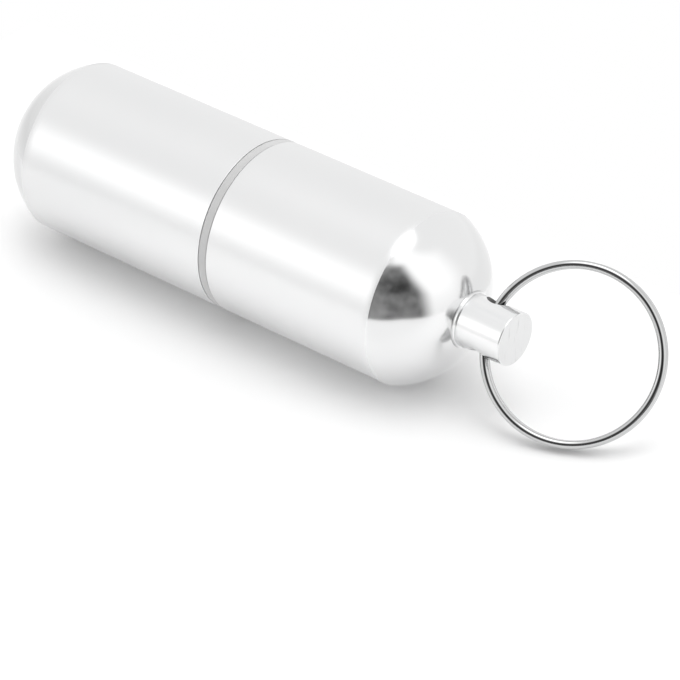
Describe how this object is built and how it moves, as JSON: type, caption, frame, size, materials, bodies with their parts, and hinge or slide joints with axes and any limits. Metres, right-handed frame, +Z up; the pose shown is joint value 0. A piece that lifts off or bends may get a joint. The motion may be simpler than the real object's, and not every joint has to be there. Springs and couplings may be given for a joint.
{
  "type": "pill fob keychain",
  "caption": "Screw-together aluminium pill capsule with domed ends, a rubber seal in its seam, a cross-drilled end post and a split key ring.",
  "frame": {"origin": "on the capsule's axis, where the container's plain barrel ends at the seam", "axes": "+X along the capsule towards the ring post, +Z up as the capsule lies on its side, +Y to the left of +X"},
  "size_m": [0.1046, 0.0256, 0.025],
  "materials": {
    "container_aluminium": "satin-turned barrel, polished dome",
    "seal_rubber": "pale grey silicone rubber",
    "cap_aluminium": "satin-turned barrel, polished dome",
    "polished_post": "polished",
    "ring_steel": "bright nickel-plated spring steel"
  },
  "bodies": {
    "container": {"container": "container_aluminium"},
    "seal": {"seal_ring": "seal_rubber"},
    "cap": {"cap": "cap_aluminium", "ring_post": "polished_post"},
    "key_ring": {"split_ring": "ring_steel"}
  },
  "joints": [
    {"name": "cap_turn", "type": "hinge", "parent": "container", "child": "seal", "pos_m": [0, 0, 0], "axis": [1, 0, 0], "range_deg": [0, 2880]},
    {"name": "cap_advance", "type": "slide", "parent": "seal", "child": "cap", "axis": [1, 0, 0], "range_m": [0, 0.01201]},
    {"name": "ring_swing", "type": "hinge", "parent": "cap", "child": "key_ring", "pos_m": [0.0407, 0, 0], "axis": [0, 0.6018, 0.7986], "range_deg": [-155, 114]}
  ],
  "couplings": [
    {"joint": "cap_advance", "follows": "cap_turn", "m_per_rad": 0.00023873}
  ]
}
